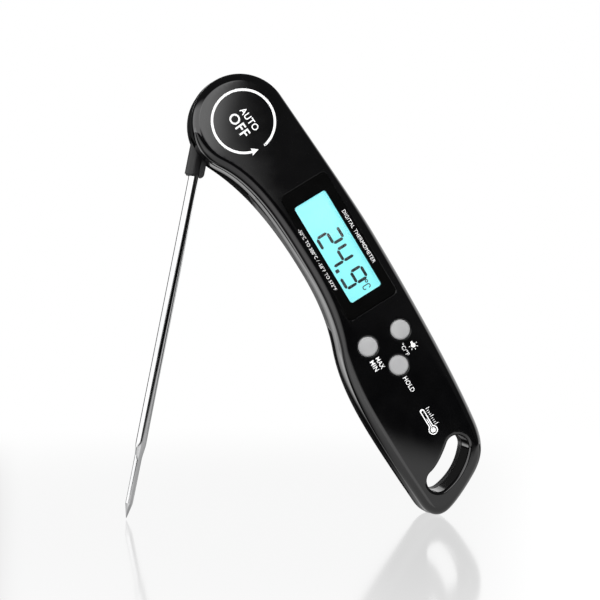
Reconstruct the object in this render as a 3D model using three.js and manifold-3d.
// Folding digital meat thermometer, in millimetres.
// A two-shell handle holds the display, three keys, the electronics and a coin cell. A steel probe
// swings out of the handle's left side on a hub that is clamped between the shells at the head.
//
// Handle frame: x runs along the handle from the pivot to the hanging slot, y across it to the right,
// and z out of the front face. z = 0 is the face of the back magnet.
// Part frame: +Z is up and the front faces -Y. The handle leans LEAN from the vertical, and the origin
// is the centre of the magnet's face.

import * as THREE from "three";
import { mergeVertices } from "three/addons/utils/BufferGeometryUtils.js";
import Module from "manifold-3d";

const wasm = await Module();
wasm.setup();

// ---------------------------------------------------------------- driving dimensions
const DEG = Math.PI / 180;
const LEAN = 31.6 * DEG;
const REST_OPEN = 42.8 * DEG; // how far the probe is swung out

// levels through the thickness
const BACK_Z = 0.2;
const PLATE_Z = 2.2; // inside of the rear shell's plate
const HUB_Z0 = 2.5;
const HUB_Z1 = 7.9;
const REAR_RIM_Z = 8.05;
const FRONT_RIM_Z = 8.35;
const FLOOR_Z = 10; // front shell's floor over the hub and over the probe's channel
const BOARD_Z = 11;
const BOARD_TOP_Z = 12;
const CEILING_Z = 16.9;
const FRONT_Z = 18.7;
const OUTSIDE = 4; // how far a cutting tool runs past a face

const WALL = 1.8;
const HEAD = { x: -0.1, y: -0.6, r: 17.9 }; // the head's outline is centred just off the pivot
const LEFT_LEAVE = -57 * DEG; // where the left edge leaves the head's circle
const LEFT_PULL = 13;
const HEEL_LEAVE = -64 * DEG; // the same on the rear shell, which keeps a fuller heel
const HEEL_PULL = 14;
const RIGHT_LEAVE = 93.4 * DEG;
const CROWN_IN = 3.2;
const CROWN_DEEP = 4.5;

const HUB_R = 15.8;
const HUB_BORE_R = 5.15;
const SLEEVE_R = 5;
const SLEEVE_BORE_R = 3.7;
const POCKET_R = 16.2;
const ARM_END = 21.3;
const ARM_INNER = 8.9;
const PROBE_Y = -12.35;
const PROBE_Z = 5.2;
const TUBE_R = 1.9;
const TIP_R = 1.35;
const TUBE_START = 9;
const TAPER_START = 117.5;
const TAPER_END = 124;
const POINT_START = 139.5;
const PROBE_TIP = 144.9;

const BAY_X0 = 17.5;
const BAY_X1 = 128;
const BAY_Y0 = -6.8;
const LENS = { x0: 29.4, x1: 79.6, left0: -3, left1: -4.7, right: 15.6, corner: 1.6, z0: 17.6, z1: 18.6 };
const WINDOW = { x0: 34.9, x1: 74.7, y0: -1.2, y1: 12.7 };
const BUTTON_R = 3.55;
const KEYS = [
  { name: "light_unit", x: 91.6, y: 9.5 },
  { name: "max_min", x: 90.6, y: -3.6 },
  { name: "hold", x: 102.1, y: 2.4 },
];
const CELL = { x: 102, y: 5.2, r: 10, z0: 3.4, z1: 6.6 };
const DOOR_R = 10.9;
const DOOR_HOLE_R = 11.1;
const MAGNET = { x: 50, y: 6, r: 7, z1: 2.4 };
const SCREWS = [[23, 11.5], [82, 15.8], [121, 12], [121, -3.5]];
const FOLD_SENSOR_X = 11;

// ---------------------------------------------------------------- materials
const plain = (color, roughness, metalness = 0) => new THREE.MeshStandardMaterial({ color, roughness, metalness });
const GLOSS_BLACK = plain(0x0b0b0c, 0.16);
const SATIN_BLACK = plain(0x151516, 0.4);
const KEY_GREY = plain(0xa0a0a0, 0.45);
const STEEL = plain(0xc8c9cb, 0.14, 1);
const ZINC = plain(0xb0b0a8, 0.35, 1);
const RUBBER = plain(0x202022, 0.8);
const WINDOW_BLACK = plain(0x050506, 0.05);
const DISPLAY = plain(0x8ff8ff, 0.3);
const BOARD_GREEN = plain(0x1d5b38, 0.5);
const CHIP_BLACK = plain(0x18181a, 0.6);
const COPPER = plain(0xc77b4a, 0.35, 1);
const INSULATION = plain(0xb8372c, 0.5);

// ---------------------------------------------------------------- solids
// A closed geometry as a manifold-3d solid.
function solid(geometry) {
  const bare = geometry.index ? geometry.toNonIndexed() : geometry;
  bare.deleteAttribute("normal");
  bare.deleteAttribute("uv");
  const merged = mergeVertices(bare, 1e-4);
  return new wasm.Manifold(
    new wasm.Mesh({
      numProp: 3,
      vertProperties: merged.attributes.position.array,
      triVerts: new Uint32Array(merged.index.array),
    }),
  );
}

// A solid as a named mesh.
function part(name, body, material) {
  const data = body.getMesh();
  const geometry = new THREE.BufferGeometry();
  geometry.setAttribute("position", new THREE.BufferAttribute(new Float32Array(data.vertProperties), 3));
  geometry.setIndex(new THREE.BufferAttribute(new Uint32Array(data.triVerts), 1));
  geometry.computeVertexNormals();
  const mesh = new THREE.Mesh(geometry, material);
  mesh.name = name;
  return mesh;
}

function box(x0, x1, y0, y1, z0, z1) {
  const geometry = new THREE.BoxGeometry(x1 - x0, y1 - y0, z1 - z0);
  return solid(geometry.translate((x0 + x1) / 2, (y0 + y1) / 2, (z0 + z1) / 2));
}

function cylinder(r, z0, z1, x = 0, y = 0, sides = 32) {
  const geometry = new THREE.CylinderGeometry(r, r, z1 - z0, sides);
  return solid(geometry.rotateX(Math.PI / 2).translate(x, y, (z0 + z1) / 2));
}

function ring(outer, inner, z0, z1, x = 0, y = 0, sides = 32) {
  return cylinder(outer, z0, z1, x, y, sides).subtract(
    cylinder(inner, z0 - OUTSIDE, z1 + OUTSIDE, x, y, sides),
  );
}

function prism(shape, z0, z1, curveSegments = 6) {
  const geometry = new THREE.ExtrudeGeometry(shape, { depth: z1 - z0, bevelEnabled: false, curveSegments });
  return solid(geometry.translate(0, 0, z0));
}

// A body whose two ends are rounded over: its side is `inset` inside the shape, and each end is drawn
// in by another `into` over the depth `deep`.
function crowned(shape, z0, z1, inset, into, deep, steps = 3) {
  const geometry = new THREE.ExtrudeGeometry(shape, {
    depth: z1 - z0 - 2 * deep,
    bevelEnabled: true,
    bevelThickness: deep,
    bevelSize: into,
    bevelOffset: -into - inset,
    bevelSegments: steps,
    curveSegments: 7,
  });
  return solid(geometry.translate(0, 0, z0 + deep));
}

function roundedRect(x0, x1, y0, y1, r) {
  const shape = new THREE.Shape();
  shape.absarc(x1 - r, y1 - r, r, 0, Math.PI / 2);
  shape.absarc(x0 + r, y1 - r, r, Math.PI / 2, Math.PI);
  shape.absarc(x0 + r, y0 + r, r, Math.PI, 1.5 * Math.PI);
  shape.absarc(x1 - r, y0 + r, r, 1.5 * Math.PI, 2 * Math.PI);
  return shape;
}

// A round wire along a path of points.
function wire(points, r) {
  const section = new THREE.Shape();
  section.absarc(0, 0, r, 0, 2 * Math.PI);
  const path = new THREE.CatmullRomCurve3(points.map((p) => new THREE.Vector3(...p)));
  return solid(
    new THREE.ExtrudeGeometry(section, {
      extrudePath: path,
      steps: 6 * (points.length - 1),
      curveSegments: 3,
      bevelEnabled: false,
    }),
  );
}

// ---------------------------------------------------------------- outlines
// The handle seen from the front: a round head, a waist on the left, a belly and a slanted end.
function bodyOutline(leave, pull) {
  const start = new THREE.Vector2(HEAD.x + HEAD.r * Math.cos(leave), HEAD.y + HEAD.r * Math.sin(leave));
  const shape = new THREE.Shape();
  shape.absarc(HEAD.x, HEAD.y, HEAD.r, leave, RIGHT_LEAVE, true);
  shape.bezierCurveTo(15, 18.25, 44, 20.35, 57, 20.35);
  shape.bezierCurveTo(85, 20.35, 115, 19.3, 134, 16.85);
  shape.bezierCurveTo(143.8, 15.6, 148.1, 12.05, 151.65, 4.85);
  shape.bezierCurveTo(153.3, 1.8, 156.45, -5.05, 157, -8.75);
  shape.bezierCurveTo(157.7, -13.1, 155.2, -16.45, 149.5, -16.7);
  shape.bezierCurveTo(140, -17.1, 130, -17.5, 120, -17.5);
  shape.bezierCurveTo(108, -17.5, 97, -16.6, 87, -12.8);
  shape.bezierCurveTo(77, -9, 68, -7.8, 56, -7.8);
  shape.bezierCurveTo(
    36,
    -7.8,
    start.x - pull * Math.sin(leave),
    start.y + pull * Math.cos(leave),
    start.x,
    start.y,
  );
  return shape;
}

// The hanging slot: two round ends joined by a full outer edge and a slightly hollow inner one.
function slotOutline() {
  const shape = new THREE.Shape();
  shape.absarc(138.45, 5.5, 4.2, 215 * DEG, 49 * DEG, true);
  shape.quadraticCurveTo(148.1, 2.7, 149.05, -6.48);
  shape.absarc(144.97, -6.9, 4.1, 6 * DEG, -170 * DEG, true);
  shape.quadraticCurveTo(140.3, -3.6, 135.01, 3.09);
  return shape;
}

// The display window's plate, a little wider at its lower end. `grow` widens it all round.
function lensOutline(grow) {
  const shape = new THREE.Shape();
  const r = LENS.corner + grow;
  shape.absarc(LENS.x1 - LENS.corner, LENS.right - LENS.corner, r, 0, Math.PI / 2);
  shape.absarc(LENS.x0 + LENS.corner, LENS.right - LENS.corner, r, Math.PI / 2, Math.PI);
  shape.absarc(LENS.x0 + LENS.corner, LENS.left0 + LENS.corner, r, Math.PI, 1.5 * Math.PI);
  shape.absarc(LENS.x1 - LENS.corner, LENS.left1 + LENS.corner, r, 1.5 * Math.PI, 2 * Math.PI);
  return shape;
}

const FRONT_OUTLINE = bodyOutline(LEFT_LEAVE, LEFT_PULL);
const REAR_OUTLINE = bodyOutline(HEEL_LEAVE, HEEL_PULL);

// The space for the electronics between two levels: inside the walls, clear of the hub's pocket, of the
// probe's channel and of the hanging slot. `margin` draws it in all round.
function bay(z0, z1, margin = 0) {
  const inside = crowned(FRONT_OUTLINE, z0 - OUTSIDE, z1 + OUTSIDE, WALL + margin, 1, 1, 1);
  return inside
    .intersect(box(0, BAY_X1 - margin, BAY_Y0 + margin, 2 * HEAD.r, z0, z1))
    .subtract(cylinder(BAY_X0 + margin, z0 - OUTSIDE, z1 + OUTSIDE, 0, 0, 48));
}

// ---------------------------------------------------------------- handle shells
function frontShell() {
  const below = box(-40, 180, -40, 40, -60, FRONT_RIM_Z);
  const cavity = crowned(FRONT_OUTLINE, FLOOR_Z - 8, CEILING_Z, WALL, 2.2, 3, 2)
    .intersect(box(-40, BAY_X1 + 1, -40, 40, FLOOR_Z, CEILING_Z));
  let body = crowned(FRONT_OUTLINE, -2, FRONT_Z, 0, CROWN_IN, CROWN_DEEP)
    .subtract(below)
    .subtract(cavity)
    .subtract(bay(FRONT_RIM_Z - 1, FLOOR_Z + 1));
  body = body.add(cylinder(2.2, 3.2, CEILING_Z + 0.5, 0, 0, 24));
  for (const [x, y] of SCREWS) {
    body = body.add(cylinder(2.4, FRONT_RIM_Z, CEILING_Z + 0.5, x, y, 20));
    body = body.subtract(cylinder(1.25, 0, 15, x, y, 16));
  }
  body = body
    .subtract(ring(3.7, 2.2, FRONT_RIM_Z - 1, FLOOR_Z + 0.5, 0, 0, 24))
    .subtract(cylinder(1.25, 0, 12, 0, 0, 16))
    .subtract(prism(lensOutline(0.2), LENS.z0 - 0.2, FRONT_Z + OUTSIDE))
    .subtract(box(WINDOW.x0, WINDOW.x1, WINDOW.y0, WINDOW.y1, CEILING_Z - 1, FRONT_Z))
    .subtract(prism(slotOutline(), -OUTSIDE, FRONT_Z + OUTSIDE));
  for (const key of KEYS) {
    body = body.subtract(cylinder(BUTTON_R + 0.25, CEILING_Z - 1, FRONT_Z + OUTSIDE, key.x, key.y, 40));
  }
  return part("front_shell", body, GLOSS_BLACK);
}

// The pocket in which the hub and the arm turn, open to the left and over the top of the head.
function hubPocket() {
  return cylinder(POCKET_R, PLATE_Z, REAR_RIM_Z + 1, 0, 0, 48)
    .add(box(-30, 0, -30, 30, PLATE_Z, REAR_RIM_Z + 1))
    .add(box(-1, ARM_END + 1.5, -30, 0.4 - ARM_INNER, PLATE_Z, REAR_RIM_Z + 1));
}

// The channel in which the folded probe lies, open to the left. It passes the heel, is bridged at the
// waist, and is shallower along the thin point.
function probeChannel() {
  const deep = PROBE_Z - TUBE_R - 0.2;
  const shallow = PROBE_Z - TIP_R - 0.2;
  const top = REAR_RIM_Z + 1;
  return box(ARM_END, 45, -30, PROBE_Y + TUBE_R + 0.3, deep, top)
    .add(box(70, TAPER_END, -30, PROBE_Y + TUBE_R + 0.3, deep, top))
    .add(box(TAPER_END - 1, POINT_START + 2.4, -30, PROBE_Y + TIP_R + 0.3, shallow, top))
    .add(box(POINT_START + 2, PROBE_TIP + 0.8, -30, PROBE_Y + 1, shallow, top));
}

// Everything behind the slanted back of the handle's end.
function backTaper() {
  const wedge = new THREE.Shape();
  wedge.moveTo(118, BACK_Z);
  wedge.lineTo(165, BACK_Z + 3.8);
  wedge.lineTo(165, -OUTSIDE);
  wedge.lineTo(118, -OUTSIDE);
  const geometry = new THREE.ExtrudeGeometry(wedge, { depth: 80, bevelEnabled: false });
  return solid(geometry.rotateX(Math.PI / 2).translate(0, 40, 0));
}

function rearShell() {
  const above = box(-40, 180, -40, 40, REAR_RIM_Z, 60);
  const { x, y } = CELL;
  let body = crowned(REAR_OUTLINE, BACK_Z, 20, 0, 1.5, 1.8, 3)
    .subtract(above)
    .subtract(hubPocket())
    .subtract(bay(PLATE_Z, REAR_RIM_Z + 1))
    .subtract(probeChannel())
    .add(ring(SLEEVE_R, SLEEVE_BORE_R, PLATE_Z - 0.5, HUB_Z1, 0, 0, 48))
    .add(cylinder(MAGNET.r + 1.5, PLATE_Z - 0.5, MAGNET.z1 + 1.4, MAGNET.x, MAGNET.y, 40))
    .add(ring(13.2, 12.4, PLATE_Z - 0.5, CELL.z1 + 0.4, x, y, 32));
  for (const [sx, sy] of SCREWS) {
    body = body
      .add(cylinder(2.9, PLATE_Z - 0.5, REAR_RIM_Z, sx, sy, 20))
      .subtract(cylinder(1.35, -1, REAR_RIM_Z + 1, sx, sy, 16))
      .subtract(cylinder(2.4, -1, 3, sx, sy, 20));
  }
  for (let i = 0; i < 3; i++) {
    const a = (i * 120 + 60) * DEG;
    body = body.subtract(
      cylinder(1.9, -1, PLATE_Z + 0.5, x + 10.5 * Math.cos(a), y + 10.5 * Math.sin(a), 16),
    );
  }
  body = body
    .subtract(cylinder(DOOR_HOLE_R, -1, PLATE_Z + 0.5, x, y, 64))
    .subtract(cylinder(MAGNET.r + 0.15, -1, MAGNET.z1 + 0.1, MAGNET.x, MAGNET.y, 40))
    .subtract(cylinder(1.35, -1, PLATE_Z + 0.5, 0, 0, 16))
    .subtract(cylinder(3, -1, 1.6, 0, 0, 24))
    .subtract(prism(slotOutline(), -OUTSIDE, FRONT_Z + OUTSIDE))
    .subtract(backTaper());
  return part("rear_shell", body, SATIN_BLACK);
}

// A seal that follows the bay's edge in the seam between the shells.
function bayGasket() {
  const z0 = REAR_RIM_Z + 0.05;
  const z1 = FRONT_RIM_Z - 0.05;
  return part("bay_gasket", bay(z0, z1, -0.9).subtract(bay(z0 - 0.1, z1 + 0.1, -0.1)), RUBBER);
}

// ---------------------------------------------------------------- display and electronics
function displayStack() {
  const glass = roundedRect(WINDOW.x0 - 2, WINDOW.x1 + 2, WINDOW.y0 - 2, WINDOW.y1 + 2, 0.8);
  return [
    part("display_window", prism(lensOutline(0), LENS.z0, LENS.z1), WINDOW_BLACK),
    part("lcd_panel", prism(glass, 14.9, 16.5, 2), DISPLAY),
    part("backlight_panel", prism(glass, 12.9, 14.6, 2), DISPLAY),
    part("lcd_connector", box(36, 72, WINDOW.y1 + 3, WINDOW.y1 + 4.2, 12.3, 16), RUBBER),
  ];
}

function circuitBoard() {
  const shape = roundedRect(27, 114, -5.6, 16.2, 1);
  const clear = cylinder(3.2, BOARD_Z - 1, BOARD_TOP_Z + 1, ...SCREWS[1], 20);
  const tongue = box(13, 28, -3, 5, BOARD_Z, BOARD_TOP_Z);
  return part("circuit_board", prism(shape, BOARD_Z, BOARD_TOP_Z, 3).add(tongue).subtract(clear), BOARD_GREEN);
}

function boardParts() {
  const meshes = [
    part("controller_chip", box(58, 65, 2, 9, 9.2, BOARD_Z - 0.2), CHIP_BLACK),
    part("fold_sensor", box(FOLD_SENSOR_X - 1.5, FOLD_SENSOR_X + 1.5, -2, 2, FLOOR_Z + 0.2, 11.8), CHIP_BLACK),
    part("buzzer", cylinder(4.5, 7.4, BOARD_Z - 0.2, 36, 9, 32), CHIP_BLACK),
  ];
  for (const key of KEYS) {
    const housing = box(-1.9, 1.9, -1.9, 1.9, BOARD_TOP_Z + 0.2, 13.9);
    const mesh = part("switch_" + key.name, housing.add(cylinder(1.1, 13.5, 14.4, 0, 0, 20)), CHIP_BLACK);
    mesh.position.set(key.x, key.y, 0);
    meshes.push(mesh);
  }
  return meshes;
}

function powerParts() {
  const { x, y, r, z0, z1 } = CELL;
  const clip = box(x - 2.5, x + 2.5, y + r + 0.4, y + r + 0.9, 4, BOARD_Z - 0.2)
    .add(box(x - 2.5, x + 2.5, y + r - 2.5, y + r + 0.9, 7.1, 7.6));
  const leaf = box(x - 9, x + 2, y - 2, y + 2, z1 + 0.3, z1 + 0.8)
    .add(box(x - 9, x - 8.5, y - 2, y + 2, z1 + 0.3, BOARD_Z - 0.2));
  return [
    part("coin_cell", cylinder(r, z0, z1, x, y, 48), STEEL),
    part("battery_clip_positive", clip, ZINC),
    part("battery_leaf_negative", leaf, COPPER),
  ];
}

// The lead from the hub's hollow sleeve up to the board's tongue.
function boardLead() {
  const points = [[2.95, 0, 3.4], [2.95, 0, 8], [3.2, 0, 11], [6, 0.6, 13.6], [10.5, 3.2, 13.6], [14, 3.6, 12.6]];
  return part("board_lead", wire(points, 0.4), INSULATION);
}

// ---------------------------------------------------------------- fasteners and magnet
// A pan-head screw that enters from the back, with a cross recess in its head.
function screw(name, x, y, headR, length) {
  const head = cylinder(headR, 0, 1.1, 0, 0, 24);
  const recess = box(-headR * 0.6, headR * 0.6, -0.25, 0.25, -1, 0.6)
    .add(box(-0.25, 0.25, -headR * 0.6, headR * 0.6, -1, 0.6));
  const mesh = part(name, head.add(cylinder(1, 1, length, 0, 0, 16)).subtract(recess), ZINC);
  mesh.position.set(x, y, 0);
  return mesh;
}

function fasteners() {
  const meshes = SCREWS.map(([x, y], i) => screw("case_screw_" + (i + 1), x, y, 2.1, 11));
  for (const mesh of meshes) {
    mesh.position.z = 1.7;
  }
  const pivot = screw("pivot_screw", 0, 0, 2.7, 10);
  pivot.position.z = 0.35;
  return [...meshes, pivot];
}

function backMagnet() {
  const { x, y, r, z1 } = MAGNET;
  return part("back_magnet", cylinder(r, 0, z1, x, y, 48), STEEL);
}

// ---------------------------------------------------------------- battery door
// A coin-slotted disc with three lugs that turn behind the rear shell's plate.
function batteryDoor() {
  let body = cylinder(DOOR_R, BACK_Z, 2, 0, 0, 48)
    .subtract(ring(DOOR_R + 1, 10, 0.9, 1.7, 0, 0, 32))
    .add(cylinder(10.3, 1.9, 3.1, 0, 0, 32));
  for (let i = 0; i < 3; i++) {
    const lug = box(9.5, 12, -1.3, 1.3, 2.35, 3.1);
    body = body.add(lug.rotate([0, 0, i * 120]));
  }
  body = body.subtract(box(-7, 7, -0.9, 0.9, -1, 1.2));
  const door = part("battery_door", body, SATIN_BLACK);
  const seal = part("door_seal", ring(DOOR_R - 0.05, 10.2, 1, 1.6, 0, 0, 32), RUBBER);
  door.position.set(CELL.x, CELL.y, 0);
  seal.position.copy(door.position);
  return [door, seal];
}

// ---------------------------------------------------------------- buttons
function button(key) {
  const profile = [
    [0, 15.1],
    [1, 15.1],
    [1, 15.8],
    [4.5, 15.8],
    [4.5, 16.6],
    [BUTTON_R, 16.6],
    [BUTTON_R, 18.7],
    [BUTTON_R - 0.15, 19.05],
    [BUTTON_R - 0.5, 19.2],
    [0, 19.3],
  ];
  const points = profile.map(([r, z]) => new THREE.Vector2(r, z));
  const body = solid(new THREE.LatheGeometry(points, 28).rotateX(Math.PI / 2));
  const mesh = part("button_" + key.name, body, KEY_GREY);
  mesh.position.set(key.x, key.y, 0);
  return mesh;
}

// ---------------------------------------------------------------- probe, drawn folded
function probeHub() {
  const arm = new THREE.Shape();
  arm.moveTo(0, -HUB_R);
  arm.lineTo(ARM_END - 1, -HUB_R);
  arm.absarc(ARM_END - 1, -HUB_R + 1, 1, -Math.PI / 2, 0);
  arm.absarc(ARM_END - 1.2, -ARM_INNER - 1.2, 1.2, 0, Math.PI / 2);
  arm.lineTo(0, -ARM_INNER);
  const body = crowned(disc(HUB_R), HUB_Z0, HUB_Z1, 0, 0.6, 0.6, 2)
    .add(prism(arm, HUB_Z0, HUB_Z1, 3))
    .subtract(cylinder(HUB_BORE_R, 0, 12, 0, 0, 48))
    .subtract(cylinder(7.8, HUB_Z1 - 0.9, 12, 0, 0, 40))
    .subtract(alongX(TUBE_R + 0.12, TUBE_START - 1, ARM_END + 2, 32))
    .subtract(box(2.8, TUBE_START, PROBE_Y - 0.9, PROBE_Y + 1.4, PROBE_Z - 0.8, HUB_Z1 + 1))
    .subtract(box(2.8, 5.4, PROBE_Y - 0.9, -3, PROBE_Z - 0.8, HUB_Z1 + 1))
    .subtract(cylinder(1.6, 5.4, 12, FOLD_SENSOR_X, 0, 24));
  return part("probe_hub", body, SATIN_BLACK);
}

function disc(r) {
  const shape = new THREE.Shape();
  shape.absarc(0, 0, r, 0, 2 * Math.PI);
  return shape;
}

// A cylinder on the probe's axis.
function alongX(r, x0, x1, sides) {
  const geometry = new THREE.CylinderGeometry(r, r, x1 - x0, sides);
  return solid(geometry.rotateZ(Math.PI / 2).translate((x0 + x1) / 2, PROBE_Y, PROBE_Z));
}

// A drawn steel tube with a necked-down, closed point. Its inner end is open.
function probeTube() {
  const wall = 0.35;
  const profile = [
    [TUBE_R - wall, TUBE_START],
    [TUBE_R, TUBE_START],
    [TUBE_R, TAPER_START],
    [1.66, TAPER_START + 3],
    [TIP_R + 0.06, TAPER_END],
    [TIP_R - 0.06, POINT_START],
    [0.12, PROBE_TIP - 0.15],
    [0, PROBE_TIP],
    [0, POINT_START + 1],
    [TIP_R - wall, POINT_START - 0.5],
    [TIP_R - wall, TAPER_END],
    [TUBE_R - wall, TAPER_START],
  ];
  const points = [...profile, profile[0]].map(([r, x]) => new THREE.Vector2(r, x));
  const geometry = new THREE.LatheGeometry(points, 24).rotateZ(-Math.PI / 2);
  return part("probe_tube", solid(geometry.translate(0, PROBE_Y, PROBE_Z)), STEEL);
}

function probeInside() {
  const bead = new THREE.SphereGeometry(0.6, 12, 8).scale(2, 1, 1);
  const lead = [
    [POINT_START - 5.4, PROBE_Y, PROBE_Z],
    [60, PROBE_Y, PROBE_Z],
    [12, PROBE_Y, PROBE_Z],
    [6.5, PROBE_Y, PROBE_Z + 0.2],
    [4.2, PROBE_Y + 1.6, PROBE_Z + 0.5],
    [4, -6, PROBE_Z + 0.5],
  ];
  return [
    part("sensor_bead", solid(bead.translate(POINT_START - 3.4, PROBE_Y, PROBE_Z)), CHIP_BLACK),
    part("probe_lead", wire(lead, 0.35), INSULATION),
    part("hub_magnet", cylinder(1.5, 5.5, 7.7, FOLD_SENSOR_X, 0, 24), STEEL),
    part("hub_seal", ring(7.6, 5.4, HUB_Z1 - 0.8, FRONT_RIM_Z - 0.1), RUBBER),
  ];
}

// ---------------------------------------------------------------- assembly
const probe = new THREE.Group();
probe.add(probeHub(), probeTube(), ...probeInside());
probe.rotation.z = -REST_OPEN;

const handle = new THREE.Group();
handle.add(frontShell(), rearShell(), bayGasket(), ...displayStack(), circuitBoard(), ...boardParts());
handle.add(...powerParts(), boardLead(), ...fasteners(), backMagnet(), ...batteryDoor());
handle.add(...KEYS.map(button), probe);

const along = new THREE.Vector3(Math.sin(LEAN), 0, -Math.cos(LEAN));
const across = new THREE.Vector3(Math.cos(LEAN), 0, Math.sin(LEAN));
handle.setRotationFromMatrix(new THREE.Matrix4().makeBasis(along, across, new THREE.Vector3(0, -1, 0)));
handle.position
  .addScaledVector(along, -MAGNET.x)
  .addScaledVector(across, -MAGNET.y);

const thermometer = new THREE.Group();
thermometer.add(handle);

export default thermometer;
